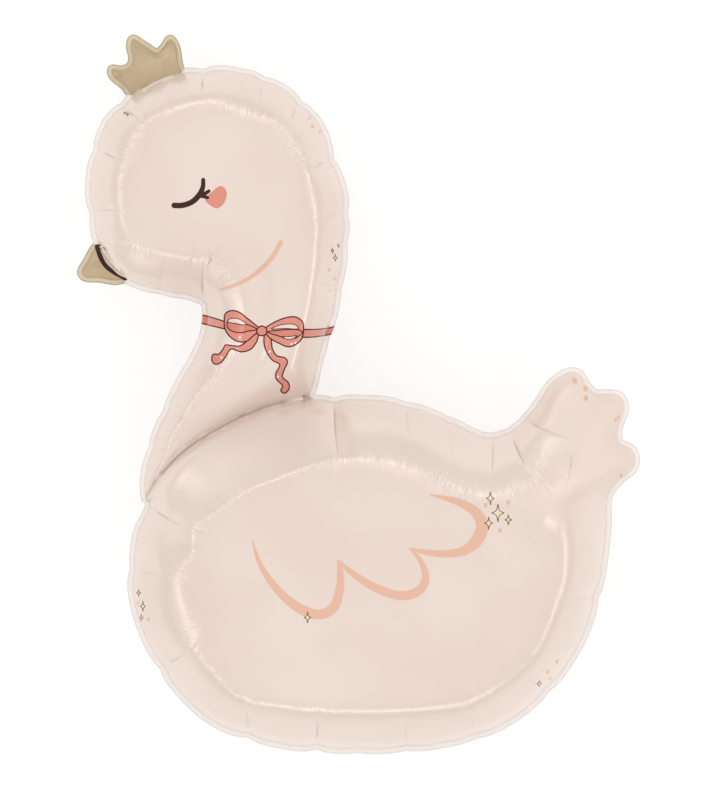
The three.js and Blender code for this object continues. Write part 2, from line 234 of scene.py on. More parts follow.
HEAD_PLEATS = [
    ((-36.2, 70.5), (-31.7, 71.2), 0.5), ((-27.8, 64.3), (-27.3, 68.4), 0.4),
    ((-22.1, 62.6), (-21.6, 68.4), 1.0), ((-23.6, 54.5), (-21.4, 53.7), 0.3),
    ((-27.1, 47.6), (-24.2, 46.5), 0.6), ((-29.1, 42.6), (-26.7, 42.0), 0.5),
    ((-4.7, 57.9), (-7.9, 58.6), 0.5), ((-3.2, 64.8), (-6.1, 65.4), 0.5),
    ((-2.1, 71.1), (-5.4, 70.1), 0.6), ((-2.1, 75.2), (-5.4, 74.3), 0.8),
    ((-3.8, 82.8), (-6.8, 81.2), 1.0), ((-8.3, 90.4), (-10.0, 87.8), 0.9),
    ((-13.4, 93.7), (-14.2, 90.5), 0.7), ((-16.6, 95.0), (-16.7, 91.0), 0.4),
    ((-21.8, 95.0), (-22.1, 91.4), 1.0), ((-26.1, 94.3), (-26.1, 89.8), 0.3),
    ((-33.0, 90.3), (-30.3, 87.6), 0.8), ((-36.9, 84.0), (-32.8, 82.5), 1.0),
    ((-37.4, 75.2), (-33.4, 75.7), 0.8),
]
# The film turns from the flank into the flat face along a ring with corners at the pleats' ends.
# The third value says how crinkled it is there.
BODY_RING = [
    (-11.8, 38.0, 0.2), (-15.3, 36.7, 0.3), (-19.5, 33.9, 0.9), (-23.3, 31.5, 0.8),
    (-23.1, 28.1, 1), (-25.7, 24.5, 0.3), (-24.9, 22.5, 0.1), (-22.9, 15.9, 0.5),
    (-23.3, 14.1, 0.5), (-21.6, 12.0, 0.6), (-18.4, 8.2, 0.5), (-15.3, 6.3, 0.7),
    (-11.1, 6.2, 0.8), (-6.6, 5.4, 0.8), (-1.4, 5.4, 0.6), (7.2, 5.6, 0.3), (15.2, 6.0, 0.3),
    (19.5, 8.9, 0.3), (23.8, 11.4, 0.3), (25.9, 14.7, 0.2), (28.2, 20.9, 0.3),
    (29.6, 23.1, 0.3), (29.9, 27.4, 0.1), (30.6, 32.5, 0.1), (32.3, 35.9, 0.1),
    (31.8, 38.1, 0.2), (30.6, 41.3, 0.5), (29.2, 42.0, 0.9), (26.4, 39.5, 0.9),
    (24.6, 37.8, 0.8), (21.1, 36.4, 0.7), (18.1, 35.9, 0.5), (16.0, 36.0, 0.7),
    (14.2, 36.7, 0.9), (11.8, 38.0, 0.9), (9.7, 39.2, 0.9), (5.6, 40.6, 0.7), (1.4, 41.3, 0.7),
    (-3.3, 41.4, 1), (-7.2, 40.1, 0.8),
]
HEAD_RING = [
    (-33.4, 75.5, 0.5), (-33.7, 79.1, 0.6), (-33.0, 82.2, 0.7), (-30.6, 88.2, 0.7),
    (-26.7, 90.3, 0.5), (-22.3, 91.5, 0.2), (-21.7, 92.1, 0.4), (-18.4, 90.7, 0.9),
    (-13.6, 89.3, 0.9), (-10.6, 88.0, 0.7), (-8.3, 84.7, 0.9), (-7.1, 82.5, 0.9),
    (-6.4, 79.1, 0.4), (-5.4, 74.5, 0.3), (-5.6, 69.8, 0.3), (-6.4, 63.1, 0.2),
    (-7.5, 56.9, 0), (-8.9, 51.3, 0), (-13.6, 46.5, 0), (-22.3, 41.6, 0.3), (-27.1, 40.2, 0.3),
    (-26.6, 44.2, 0.6), (-25.3, 47.4, 0.9), (-23.1, 50.2, 0.9), (-19.7, 53.4, 0.9),
    (-16.7, 55.6, 0.4), (-15.9, 59.0, 0), (-15.7, 62.4, 0.2), (-16.3, 64.8, 0.6),
    (-19.2, 68.4, 0.9), (-20.6, 69.8, 0.9), (-22.9, 69.1, 0.6), (-27.8, 70.0, 0.4),
    (-31.7, 71.2, 0.4), (-32.8, 74.0, 0.3),
]
# The top lamp and the side lamps are turned this far from upright, and the film shines at about
# half of that
TURN_TOP = math.tan(math.radians(57))
TURN_SIDE = math.tan(math.radians(66))
RING_STEP = 0.002
RING_BLUR = 0.006
TURN_REACH = 0.055
BODY_TURN_SHARE = 0.78
GAIN_LEAST, GAIN_MOST = 0.74, 1.5
LACKING_MOST = 0.3
RIDGE_SLOPE = 0.09
RIDGE_LEAST, RIDGE_BODY_MOST, RIDGE_HEAD_MOST = 0.07, 0.22, 0.16
RIDGE_TAIL = 0.12
RIDGE_REACH = 0.014
RIDGE_ROUND = 0.008
CRINKLE_REACH = 0.017
CRINKLE_STEP = 0.0030
CRINKLE_LENGTH = 0.070
NIP_DEPTH = 0.0045
NIP_WIDTH = 0.009
NIP_ROUND = 0.003
CREASE_DEPTH = 0.0015
CREASE_WIDTH = 0.004
CREASE_KEEP = 0.030
FLANK_WIDTH = 0.082
FLANK_WIDEST = 0.110
FLANK_SAG = 0.009
GROOVE_DEPTH = 0.0022
GROOVE_WIDTH = 0.008
BY_TAIL = 0.75
TAIL_SLACK = 0.54
CREASE_CALM, CREASE_CALM_END = 0.09, 0.12


def tail_distance(points):
    """0 at the tail's tip and 1 from where the body has its full depth."""
    return np.clip(np.hypot(*(points - np.array(TAIL_TIP) * UNIT).T) / (TAIL_REACH * UNIT), 0, 1)


def straight_line(points, step):
    """Points a step apart on closed straight lines through the given ones, with their third value."""
    corners = np.array(points + points[:1], float) * [UNIT, UNIT, 1]
    along = np.append(0, np.cumsum(np.hypot(*np.diff(corners[:, :2], axis=0).T)))
    places = np.arange(0, along[-1], step)
    return np.column_stack([np.interp(places, along, column) for column in corners.T])


def shape_room(lobe, ring, points, inset, room, depth_share, crease_gap):
    """Moves the turn of the film onto the ring.

    It gives the new room, the distance past the ring, the crinkles, the distance along the ring, the
    slope of the ridge on it, and the slope that the film still lacks there.
    """
    is_body = lobe is body
    line = straight_line(ring, RING_STEP)
    inset_there, _, inward_there = lobe.measure(line[:, :2])
    room_there, share_there = lobe.room(line[:, :2], inset_there, inward_there)
    tail_there = tail_distance(line[:, :2])
    rooms = np.linspace(0.05, 0.95, 60) * lobe.fullest
    slopes = np.gradient(lobe.height(rooms), rooms)

    # The slope at which the film shines, and the room at which the lobe has that slope
    sideways = np.maximum(np.abs(inward_there[:, 0]), inward_there[:, 1])
    tilt = np.arctan(np.minimum(TURN_TOP / np.maximum(-inward_there[:, 1], 1e-3),
                                TURN_SIDE / np.maximum(sideways, 1e-3))) / 2
    wanted = np.tan(tilt) / (1 - np.minimum(share_there, 0.6))
    wanted_room = np.interp(-wanted, -slopes, rooms)
    gain = np.clip(wanted_room / np.maximum(room_there, 0.002), GAIN_LEAST, GAIN_MOST)
    by_crease = 0
    if is_body:
        from_crease = crease_distance(line[:, :2], np.ones(len(line)))
        by_crease = 1 - ramp(from_crease, CREASE_CALM, CREASE_CALM_END)
        gain = 1 + (gain - 1) * (1 - by_crease)
    gain = np.where(tail_there < BY_TAIL, np.maximum(gain, 1), gain)

    # What the gain can't give, a ridge along the ring and a straighter flank do
    reached = -np.interp(-room_there * gain, -rooms[::-1], -slopes[::-1]) * (1 - share_there) * gain
    reached += by_crease * math.pi * FLANK_SAG / FLANK_WIDTH
    lacking = np.clip(np.tan(tilt) - reached, 0, LACKING_MOST)
    ridge_most = RIDGE_BODY_MOST if is_body else RIDGE_HEAD_MOST
    ridge = np.clip(RIDGE_SLOPE + np.tan(tilt) - reached, RIDGE_LEAST, ridge_most)
    ridge = np.where(tail_there < TAIL_SLACK, RIDGE_TAIL, ridge)

    # Smoothed along the ring, then carried to every point by its distance to the ring's points
    on_ring = [np.convolve(np.concatenate([v[-10:], v, v[:10]]), np.ones(21) / 21, "valid")
               for v in (gain, ridge, lacking)]
    ring_points, on_ring = line[::4, :2], np.stack(on_ring, 1)[::4]
    values = np.ones((len(points), 3))
    for first in range(0, len(points), 8000):
        part = points[first:first + 8000]
        weight = ((part[:, None] - ring_points[None]) ** 2).sum(-1)
        weight = (weight + RING_BLUR ** 2) ** -2
        values[first:first + 8000] = weight @ on_ring / weight.sum(1)[:, None]
    gain, ridge, lacking = values.T

    away, along, _, crinkle = nearest_on(line, points, True)
    past = np.where(is_inside(line, points), away, -away)
    sharp_reach = TURN_REACH * (BODY_TURN_SHARE if is_body else 1)
    reach = np.where(gain > 1, sharp_reach, 2 * TURN_REACH)
    share = np.where(past > 0, np.exp(-(past / reach) ** 2), 1) * ramp(inset, 0, 0.006)
    share *= ramp(tail_distance(points), 0.38, 0.73)
    share *= 1 - ramp(depth_share, 0.75, 0.95) * (past < 0)
    share *= 1 - np.exp(-(crease_gap / CREASE_KEEP) ** 2)
    room = room * (1 + (gain - 1) * share)
    return room, past, crinkle, along, ridge, lacking


def nip(lobe, pleats, along, inset):
    """How far the pleats pull the weld inwards, which leaves it scalloped."""
    starts = np.array([start for start, _, _ in pleats]) * UNIT
    corners = nearest_on(lobe.fine, starts, True)[1]
    length = len(lobe.fine) * WELD_STEP
    pull = np.zeros(len(along))
    strengths = [pleat[2] for pleat in pleats] * np.where(tail_distance(starts) < BY_TAIL, 0.3, 1)
    for corner, strength in zip(corners, strengths):
        away = np.abs((along - corner + length / 2) % length - length / 2)
        shape = np.exp((NIP_ROUND - np.hypot(away, NIP_ROUND)) / NIP_WIDTH)
        pull = np.maximum(pull, strength * shape)
    return NIP_DEPTH * pull * (1 - ramp(inset, 0.002, 0.03))


def pleat_lines(pleats, points):
    """Distance across the nearest pleat, how strong that pleat is there, and the groove's depth."""
    across = np.full(len(points), 0.03)
    strength = np.zeros(len(points))
    groove = np.zeros(len(points))
    for start, end, power in pleats:
        a, b = np.array(start) * UNIT, np.array(end) * UNIT
        reach = b - a
        length = np.hypot(*reach)
        p = points - a
        t = (p @ reach) / length ** 2
        side = (p[:, 0] * reach[1] - p[:, 1] * reach[0]) / length
        bend = 0.0016 * np.sin(5 * t + 7 * power + start[0])
        side = side + bend * t
        near = (np.abs(side) < np.abs(across)) & (t > -0.25) & (t < 1.4)
        fading = power * (1 - ramp(t, 0.35, 1.3))
        across[near] = side[near]
        strength[near] = fading[near]
        groove += fading * np.exp(-np.hypot(side, 0.001) / GROOVE_WIDTH) * (t > -0.5)
    return across, strength * (1 - ramp(np.abs(across), 0.003, 0.007)), GROOVE_DEPTH * groove


# The prints
# They are inks on the front film, with no thickness: a closed eye with two lashes, a blush, a line
# under the cheek, a wing, a ribbon with a bow round the neck, and a few stars and dots.

EYE = [
    [(-25.76, 76.22, 0.78), (-24.70, 76.22, 0.78), (-23.27, 76.72, 0.78), (-22.21, 77.79, 0.78),
     (-21.77, 78.86, 0.64), (-21.74, 79.76, 0.56)],
    [(-22.18, 77.61, 0.50), (-21.49, 77.86, 0.53), (-20.96, 78.19, 0.50)],
    [(-22.18, 77.54, 0.47), (-21.63, 77.43, 0.50), (-21.14, 77.30, 0.47)],
]
BLUSH = [
    (-19.19, 78.90), (-18.50, 78.16), (-18.66, 76.91), (-19.26, 76.08), (-19.89, 75.80),
    (-20.86, 76.29), (-21.49, 76.98), (-21.17, 77.52), (-20.42, 78.16), (-19.86, 78.72),
]
PEACH_STROKES = [
    [(-19.30, 64.59, 0.36), (-17.02, 65.29, 0.50), (-14.48, 66.75, 0.64), (-12.21, 69.01, 0.70),
     (-10.99, 71.07, 0.67)],
    [(-14.92, 29.71, 0.22), (-13.80, 26.44, 0.70), (-11.24, 22.75, 1.11), (-8.12, 20.25, 1.39),
     (-5.56, 19.55, 1.39), (-3.69, 20.49, 1.39), (-2.81, 23.03, 1.18), (-2.73, 25.31, 0.90),
     (-2.98, 26.98, 0.42)],
    [(-2.98, 26.98, 0.28), (-1.31, 25.45, 0.83), (1.82, 23.42, 1.18), (4.94, 22.25, 1.25),
     (7.07, 22.31, 1.32), (8.62, 23.32, 1.25), (9.07, 25.02, 1.04), (8.34, 27.01, 0.70),
     (7.09, 28.51, 0.35)],
    [(6.93, 28.65, 0.28), (8.92, 28.21, 0.76), (11.75, 27.93, 1.04), (14.52, 28.43, 1.32),
     (16.27, 29.97, 1.74), (16.90, 31.84, 1.74), (16.16, 33.53, 1.46), (14.31, 34.81, 1.11),
     (12.03, 35.58, 0.70), (9.76, 36.09, 0.21)],
]
MOUTH = [
    (-36.41, 70.76), (-35.91, 69.57), (-35.29, 68.28), (-34.37, 67.40), (-33.67, 66.72),
    (-32.36, 65.97), (-32.68, 65.84), (-33.44, 66.22), (-34.30, 66.68), (-35.41, 67.51),
    (-36.12, 68.46), (-36.61, 69.62), (-36.86, 70.76),
]
RIBBON_BANDS = [
    [(-22.81, 61.25), (-22.00, 61.04), (-20.45, 60.64), (-18.97, 60.19), (-18.22, 59.94),
     (-18.22, 58.97), (-18.82, 59.11), (-20.45, 59.50), (-22.00, 59.89), (-22.81, 60.14)],
    [(-8.34, 59.03), (-7.80, 59.03), (-5.79, 59.03), (-4.08, 59.26), (-3.38, 59.51),
     (-2.50, 59.72), (-2.50, 58.75), (-3.38, 58.50), (-4.23, 58.25), (-5.79, 57.98),
     (-7.87, 57.94), (-8.62, 58.00)],
]
RIBBON_TAILS = [
    [(-14.10, 58.48), (-14.24, 57.62), (-14.48, 57.09), (-15.24, 56.23), (-16.50, 55.92),
     (-17.89, 56.31), (-18.66, 55.23), (-19.29, 54.45), (-20.06, 54.21), (-20.53, 54.60),
     (-20.45, 55.54), (-19.60, 55.62), (-19.12, 56.16), (-18.66, 56.86), (-17.73, 56.77),
     (-16.65, 56.75), (-15.72, 57.40), (-15.02, 58.14)],
    [(-13.14, 58.55), (-13.31, 57.09), (-12.92, 55.84), (-12.14, 54.76), (-11.14, 54.14),
     (-11.68, 52.89), (-11.60, 52.13), (-10.75, 51.20), (-10.99, 50.49), (-10.43, 50.18),
     (-9.82, 50.88), (-9.97, 51.66), (-10.75, 52.43), (-10.60, 53.21), (-10.06, 54.60),
     (-10.43, 55.08), (-11.53, 55.38), (-12.14, 56.31), (-12.29, 57.40), (-12.52, 58.28)],
]
BOW_LOOPS = [
    [(-13.63, 58.90), (-14.31, 59.50), (-15.56, 60.50), (-16.80, 61.43), (-17.89, 61.64),
     (-18.72, 61.20), (-18.86, 60.19), (-18.75, 59.11), (-18.04, 58.03), (-16.80, 57.32),
     (-15.72, 57.40), (-14.94, 58.03), (-14.24, 58.58)],
    [(-13.56, 58.90), (-13.00, 59.35), (-11.84, 60.04), (-10.28, 60.65), (-8.89, 60.74),
     (-7.96, 60.04), (-7.83, 58.96), (-8.11, 57.71), (-9.04, 56.86), (-9.97, 56.62),
     (-11.21, 57.09), (-12.46, 57.79), (-13.07, 58.50)],
]
BOW_HOLES = [
    [(-18.36, 60.11), (-18.18, 60.42), (-17.73, 60.58), (-16.80, 60.47), (-15.72, 59.72),
     (-16.27, 59.67), (-17.25, 59.86)],
    [(-12.29, 59.11), (-11.36, 59.55), (-9.97, 59.78), (-8.92, 59.64), (-8.53, 59.16),
     (-10.43, 59.16)],
    [(-10.78, 58.0), (-9.74, 58.04), (-8.76, 58.14), (-9.23, 57.77), (-10.08, 57.67)],
]
BOW_INSIDES = [
    [(-18.36, 60.11), (-17.25, 59.86), (-16.27, 59.67), (-15.72, 59.72), (-14.31, 59.03),
     (-15.56, 58.79), (-16.50, 58.57), (-17.73, 58.79), (-18.41, 59.36)],
    [(-12.80, 58.66), (-11.13, 58.92), (-9.74, 59.03), (-8.50, 58.96), (-8.01, 58.64),
     (-8.89, 57.87), (-9.97, 57.71), (-11.21, 58.09)],
]
BOW_KNOT = [
    (-13.62, 59.50), (-13.05, 59.22), (-12.93, 58.75), (-13.13, 58.28), (-13.63, 58.16),
    (-14.14, 58.33), (-14.33, 58.83), (-14.10, 59.30),
]
BOW_GLINTS = [
    (-16.69, 57.93), (-9.5, 57.0), (-8.99, 57.16), (-12.52, 55.96), (-19.24, 55.15), (-11.36, 52.48),
]
# Each star's middle, height and width
STARS = [
    (18.07, 35.62, 1.81, 1.11), (19.10, 33.60, 2.42, 1.67), (20.54, 32.64, 1.39, 0.97),
    (17.82, 32.17, 1.74, 1.11), (-7.26, 19.12, 1.53, 0.97), (-30.76, 22.46, 1.11, 0.63),
    (-30.15, 20.58, 1.53, 0.76), (-30.40, 18.98, 1.11, 0.63), (-3.41, 68.98, 1.11, 0.63),
    (-3.76, 69.96, 0.83, 0.49), (-2.78, 70.65, 0.70, 0.42), (-32.82, 89.29, 0.56, 0.42),
    (-32.41, 89.01, 0.56, 0.42), (25.03, 9.74, 0.97, 0.83),
]
DOTS = [
    (17.41, 34.66), (20.54, 35.03), (19.36, 31.18), (29.85, 51.95, 1.4), (31.35, 50.82, 1.3),
    (31.40, 49.53, 1.3), (35.51, 46.48, 0.8), (35.94, 46.86, 0.8), (36.31, 38.78), (-6.93, 88.47),
    (-6.59, 87.27), (-5.58, 86.56), (-4.26, 67.32), (-3.41, 66.06), (-30.89, 21.00),
    (-29.40, 18.78), (27.33, 12.93), (26.08, 11.47), (26.50, 10.43),
]
FAR = 0.02


def star_outline(x, y, tall, wide):
    """Four points joined by hollow curves."""
    outline = []
    for k in range(16):
        angle = math.pi * k / 8
        right, up = math.cos(angle), math.sin(angle)
        hollow = (abs(right) ** 0.55 + abs(up) ** 0.55) ** (-1 / 0.55)
        outline.append((x + wide / 2 * hollow * right, y + tall / 2 * hollow * up))
    return outline


def dot_outline(x, y, size=1.0):
    """A short slanted oval."""
    slant = math.radians(25 * math.sin(9 * x) + 10)
    outline = []
    for k in range(8):
        angle = math.pi * k / 4
        a, b = 0.24 * size * math.cos(angle), 0.34 * size * math.sin(angle)
        outline.append((x + a * math.cos(slant) + b * math.sin(slant),
                        y - a * math.sin(slant) + b * math.cos(slant)))
    return outline


def print_distance(points, shapes=(), strokes=()):
    """Distance to the nearest edge of a print, negative on the ink."""
    distance = np.full(len(points), FAR)
    for outline, is_stroke in [(s, False) for s in shapes] + [(s, True) for s in strokes]:
        line = smooth_line(outline, 0.0004 if len(outline) < 20 else 0.0006, not is_stroke)
        low, high = line[:, :2].min(0) - FAR, line[:, :2].max(0) + FAR
        near = np.flatnonzero(((points > low) & (points < high)).all(1))
        if not len(near):
            continue
        away, _, _, width = nearest_on(line, points[near], not is_stroke)
        if is_stroke:
            away = away - width / 2
        else:
            away = np.where(is_inside(line, points[near]), -away, away)
        distance[near] = np.minimum(distance[near], away)
    return distance


PRINTS = {
    "eye": dict(strokes=EYE),
    "blush": dict(shapes=[BLUSH]),
    "peach": dict(strokes=PEACH_STROKES),
    "dots": dict(shapes=[dot_outline(*dot) for dot in DOTS]),
    "mouth": dict(shapes=[MOUTH]),
    "bands": dict(shapes=RIBBON_BANDS),
    "tails": dict(shapes=RIBBON_TAILS),
    "loops": dict(shapes=BOW_LOOPS),
    "insides": dict(shapes=BOW_INSIDES),
    "holes": dict(shapes=BOW_HOLES),
    "knot": dict(shapes=[BOW_KNOT]),
    "glints": dict(shapes=[dot_outline(*glint, 0.55) for glint in BOW_GLINTS]),
    "stars": dict(shapes=[star_outline(*star) for star in STARS]),
}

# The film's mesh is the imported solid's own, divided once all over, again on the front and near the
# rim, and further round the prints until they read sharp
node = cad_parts["foil_balloon"]
bm = bmesh.new()
bm.from_mesh(node.data)
bmesh.ops.remove_doubles(bm, verts=bm.verts, dist=1e-5)

# The weld's plane is found from the trimmed edge, whose faces meet at right angles
TRIMMED_ANGLE = 1.1
CREASE_ANGLE = 0.3
trimmed = {v for e in bm.edges if len(e.link_faces) == 2 and e.calc_face_angle() > TRIMMED_ANGLE
           for v in e.verts}
edge_points = np.array([v.co for v in trimmed])
centre = edge_points.mean(0)
normal = np.linalg.svd(edge_points - centre)[2][2]
normal *= np.sign(normal[2])
lean = Vector((0, 0, 1)).rotation_difference(Vector(normal)).to_matrix().to_4x4()
flat_points = (edge_points - centre) @ np.array(lean.to_3x3())
outlines = np.vstack([lobe.fine for lobe in LOBES])
middle = (outlines.min(0) + outlines.max(0)) / 2
offset = (flat_points.min(0) + flat_points.max(0))[:2] / 2 - middle
to_floor = Matrix.Translation(centre) @ lean @ Matrix.Translation((*offset, 0))
bm.transform(to_floor.inverted())

# The crease between the neck and the body, and its last stretch down to the notch in the rim
creases = []
for e in bm.edges:
    a, b = e.verts
    off_weld = min(abs(a.co.z), abs(b.co.z)) > 2 * WELD_HALF
    if off_weld and not e.is_convex and e.calc_face_angle() > CREASE_ANGLE:
        place = np.array([(a.co + b.co) / 2])[:, :2]
        if min(lobe.measure(place)[0][0] for lobe in (body, head)) > 0:
            creases += [a.co.lerp(b.co, share / 8) for share in range(9)]
NOTCH, CREASE_END = Vector((-30.0, 35.3, 0)), Vector((-27.7, 39.2, 0))
for share in np.linspace(0, 1, 24):
    for z in (1, -1):
        creases.append(NOTCH.lerp(CREASE_END, share) * UNIT + Vector((0, 0, z)))
crease_tree = KDTree(len(creases))
for i, place in enumerate(creases):
    crease_tree.insert((place.x, place.y, math.copysign(1, place.z)), i)
crease_tree.balance()


def crease_distance(points, sides):
    """How far each point is from the crease between the neck and the body."""
    return np.array([crease_tree.find((x, y, z))[2] for x, y, z in zip(*points.T, sides)])


side_layer = bm.verts.layers.float.new("side")
inset_layer = bm.verts.layers.float.new("inset_mark")


def plane_points():
    return np.array([v.co for v in bm.verts])


def union_inset(points):
    return np.max([lobe.measure(points)[0] for lobe in LOBES], 0)


places = plane_points()
on_weld = np.abs(places[:, 2]) < 2 * WELD_HALF
inset = union_inset(places[:, :2])
inset = np.where(on_weld & (inset > -0.5 * WELD_WIDTH), 0, inset)
inset = np.where(on_weld & (inset < -0.5 * WELD_WIDTH), -WELD_WIDTH, inset)
for v, z, value in zip(bm.verts, places[:, 2], inset):
    v[side_layer] = math.copysign(1, z)
    v[inset_layer] = value


def divide(edges):
    bmesh.ops.subdivide_edges(bm, edges=edges, cuts=1, use_grid_fill=True)
    bmesh.ops.triangulate(bm, faces=[f for f in bm.faces if len(f.verts) > 3])
    bm.verts.index_update()


divide(bm.edges[:])
RIM_ZONE = 0.050
divide([e for e in bm.edges if max(v[side_layer] for v in e.verts) > 0
        or min(v[inset_layer] for v in e.verts) < RIM_ZONE])
for reach, longest in ((0.005, 0.0030), (0.0022, 0.0014)):
    points = plane_points()[:, :2]
    front = np.array([v[side_layer] for v in bm.verts]) > 0
    gap = np.full(len(points), FAR)
    for shapes in PRINTS.values():
        gap[front] = np.minimum(gap[front], np.abs(print_distance(points[front], **shapes)))
    divide([e for e in bm.edges if e.calc_length() > longest
            and max(gap[v.index] for v in e.verts) < reach + e.calc_length()])

# Every point then goes to its own place on the blown-up form
places = plane_points()
xy = places[:, :2].copy()
side = np.array([v[side_layer] for v in bm.verts])
mark = np.array([v[inset_layer] for v in bm.verts])
measures = [lobe.measure(xy) for lobe in LOBES]
insets = np.array([m[0] for m in measures])
owner = insets.argmax(0)
inset = insets.max(0)
inward = np.choose(owner[:, None], [m[2] for m in measures])

# Rows next to the weld are spread evenly over the steep film, and those on it lie exactly on it
ZONE = 0.009
CROWDING = 1.7
wanted = np.maximum(inset, 1e-5) ** CROWDING / ZONE ** (CROWDING - 1)
wanted = np.where(mark <= 0, mark, np.where(inset < ZONE, wanted, inset))
moves = np.abs(mark) < ZONE * 1.3
xy[moves] += inward[moves] * (wanted - inset)[moves][:, None]
measures = [lobe.measure(xy) for lobe in LOBES]
insets = np.array([m[0] for m in measures])
inset = np.where(mark <= 0, wanted, insets.max(0))
inward = np.choose(owner[:, None], [m[2] for m in measures])

crease_gap = crease_distance(xy, side)
heights, pasts, crinkles, turns, lackings = [], [], [], [], []
for lobe, ring, (lobe_inset, _, into) in zip(LOBES, (BODY_RING, HEAD_RING, None, None), measures):
    room, depth_share = lobe.room(xy, lobe_inset, into)
    ridge = 0
    if ring:
        room, past, crinkle, along, ridge, lacking = shape_room(
            lobe, ring, xy, lobe_inset, room, depth_share, crease_gap)
        ridge *= np.exp((RIDGE_ROUND - np.hypot(past, RIDGE_ROUND)) / RIDGE_REACH) * RIDGE_REACH
        ridge *= ramp(lobe_inset, 0.005, 0.025) * ramp(tail_distance(xy), 0.23, 0.35)
        ridge *= 1 - ramp(depth_share, 0.7, 0.95)
        pasts.append(past)
        crinkles.append(crinkle)
        turns.append(2 * math.pi * along / (RING_STEP * len(straight_line(ring, RING_STEP))))
        lackings.append(lacking)
    heights.append(lobe.height(room) + ridge)

# On the body the film is pulled straight between the ring and the crease, on the neck and the head
# wherever the turn on the ring lacks slope
outside = np.maximum(-pasts[0], 0)
flank = outside + crease_gap
sag = FLANK_SAG * (flank / FLANK_WIDTH) ** 2 * (1 - ramp(flank, FLANK_WIDTH, FLANK_WIDEST))
sag *= ramp(measures[0][0], 0, 0.04)
heights[0] -= sag * np.sin(math.pi * outside / np.maximum(flank, 1e-6))
outside = np.maximum(-pasts[1], 0)
flank = outside + np.maximum(np.minimum(measures[1][0], crease_gap), 1e-6)
sag = lackings[1] * flank / math.pi * ramp(measures[1][0], 0, 0.02)
heights[1] -= sag * np.sin(math.pi * outside / flank)
from_tail = tail_distance(xy)
smooth_rise = from_tail ** 3 * (from_tail * (6 * from_tail - 15) + 10)
heights[0] = heights[0] * (TAIL_SHARE + (1 - TAIL_SHARE) * smooth_rise)
heights = np.array(heights)
top_lobe = heights.argmax(0)
height = np.where(mark <= 0, 0, heights.max(0))

pleats = [pleat_lines(lines, xy) for lines in (BODY_PLEATS, HEAD_PLEATS)]
in_head = (top_lobe == 1) | ((mark <= 0) & (owner == 1))
in_body = (top_lobe == 0) | ((mark <= 0) & (owner == 0))
across = np.where(in_head, pleats[1][0], pleats[0][0])
pleat = np.where(in_head, pleats[1][1], np.where(in_body, pleats[0][1], 0))
groove = np.where(in_head, pleats[1][2], np.where(in_body, pleats[0][2], 0))
groove += CREASE_DEPTH * np.exp(-crease_gap / CREASE_WIDTH)
height = np.maximum(height - groove * ramp(height, 0, 0.03), np.where(mark <= 0, 0, 1e-4))

pull = np.where(in_head, nip(head, HEAD_PLEATS, measures[1][1], inset),
                np.where(in_body, nip(body, BODY_PLEATS, measures[0][1], inset), 0))
along = np.where(in_head, measures[1][1], np.where(in_body, measures[0][1], measures[2][1]))
print_points = xy.copy()
xy += inward * pull[:, None]
WAVE_HEIGHT, WAVE_LONG, WAVE_SHORT = 0.0009, 0.011, 0.0047
wave = WAVE_HEIGHT * (np.sin(along / WAVE_LONG) + np.sin(along / WAVE_SHORT + 2))
wave *= (1 - ramp(inset, -0.002, 0.012)) * np.where(in_head | in_body, 1, 0.3)

up = side * (height + WELD_HALF) + wave
for v, (x, y), z in zip(bm.verts, xy, up):
    v.co = to_floor @ Vector((x, y, z))
    v.co.z = max(v.co.z, 0)
bm.normal_update()

# Crinkles gather along the ring and run across it
past = np.where(in_head, pasts[1], pasts[0])
crinkle = np.where(in_head, crinkles[1], crinkles[0]) * np.exp(-(past / CRINKLE_REACH) ** 2)
crinkle *= np.where(in_head | in_body, 1, 0) * ramp(inset, 0.004, 0.015)
pleat *= ramp(inset, 0.003, 0.016)
turn = np.where(in_head, turns[1], turns[0])
around = [RING_STEP * len(straight_line(ring, RING_STEP)) / (2 * math.pi * CRINKLE_STEP)
          for ring in (HEAD_RING, BODY_RING)]
around = np.where(in_head, *around)
flow = np.column_stack([around * np.cos(turn), around * np.sin(turn), past / CRINKLE_LENGTH])
gilt = np.maximum(insets[2], insets[3])
gold = np.where(gilt > 0, 0, gilt) - insets[1]
gold = np.where(gilt > -2 * WELD_WIDTH, gold, -FAR)
slack = (1 - ramp(from_tail, TAIL_SLACK / 2, TAIL_SLACK)) * in_body
# The painted shade along the crease is switched off towards the crease's right end
CREASE_SHADE_OFF = 0.012
crease_shade_fade = CREASE_SHADE_OFF * ramp(xy[:, 0], -10.5 * UNIT, -8.0 * UNIT)

mesh = bpy.data.meshes.new("foil_swan")
bm.to_mesh(mesh)
front = side > 0
bm.free()
marks = {"gold": gold, "weld": inset, "across": across, "pleat": pleat, "crinkle": crinkle,
         "crease": crease_gap + crease_shade_fade, "slack": slack}
for name, shapes in PRINTS.items():
    marks[name] = np.full(len(xy), FAR)
    marks[name][front] = print_distance(print_points[front], **shapes)
for name, values in marks.items():
    layer = mesh.attributes.new(name, "FLOAT", "POINT")
    layer.data.foreach_set("value", values.astype(np.float32))
layer = mesh.attributes.new("flow", "FLOAT_VECTOR", "POINT")
layer.data.foreach_set("vector", flow.astype(np.float32).ravel())
mesh.attributes.remove(mesh.attributes["side"])
mesh.attributes.remove(mesh.attributes["inset_mark"])
mesh.shade_smooth()
mesh.set_sharp_from_angle(angle=math.radians(50))  # the weld's cut edge stays crisp
balloon = bpy.data.objects.new("foil_swan", mesh)
bpy.context.scene.collection.objects.link(balloon)
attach(balloon, "root")
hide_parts("foil_balloon")
print("triangles", sum(len(p.vertices) - 2 for p in mesh.polygons))


# The film's finish
# A satin pearl coat over a metallised film, with flat inks on it, and champagne gold ink on the crown
# and the beak. The flange along the weld is painted light as a painted highlight, and the crease
# between the neck and the body is darkened with painted shade. The crinkles and the pleats' sharp
# lines are too fine for the mesh.

def linear(red, green, blue):
    """A colour that the eye names in 0 to 255, as the shader needs it."""
    return tuple(((c / 255 + 0.055) / 1.055) ** 2.4 for c in (red, green, blue)) + (1,)


